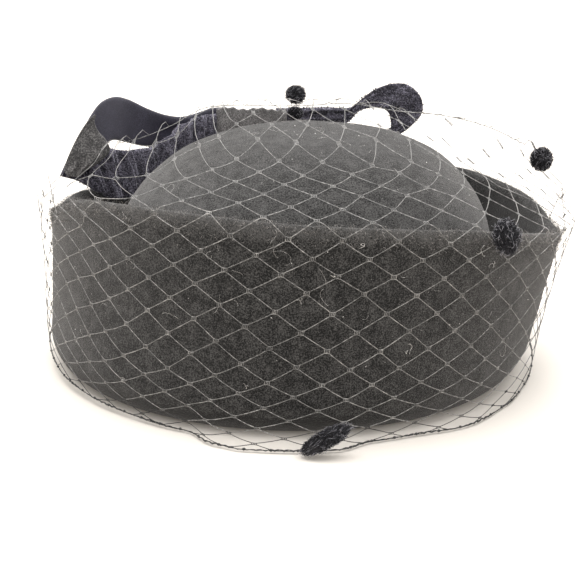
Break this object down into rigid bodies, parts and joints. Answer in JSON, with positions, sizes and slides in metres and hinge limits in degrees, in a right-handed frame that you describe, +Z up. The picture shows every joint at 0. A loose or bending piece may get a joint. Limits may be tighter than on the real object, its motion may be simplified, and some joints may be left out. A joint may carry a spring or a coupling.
{
  "type": "pillbox hat",
  "caption": "Black felt pillbox hat with a deep turned-up cuff, velvet band, ribbon bow at the back and a net veil with chenille dots.",
  "frame": {"origin": "on the table, under the middle of the whole hat's bounding box", "axes": "+Z up through the crown, -Y towards the wearer's face, +X to the right as seen from the front"},
  "size_m": [0.2576, 0.26, 0.1207],
  "materials": {
    "wool_felt": "matt brushed black wool felt",
    "velvet": "deep black velvet pile",
    "bow_ribbon": "bluish black velvet ribbon, satin back",
    "veil_net": "fine black nylon net",
    "chenille": "cut chenille pile"
  },
  "bodies": {
    "root": {"crown": "wool_felt", "cuff": "wool_felt", "velvet_band": "velvet", "bow_centre": "bow_ribbon", "bow_left_loop": "bow_ribbon", "bow_right_loop": "bow_ribbon", "bow_gather": "velvet", "veil": "veil_net", "veil_dot_front": "chenille", "veil_dot_rim": "chenille", "veil_dot_side": "chenille", "veil_dot_top": "chenille", "veil_dot_back": "chenille"}
  },
  "joints": []
}
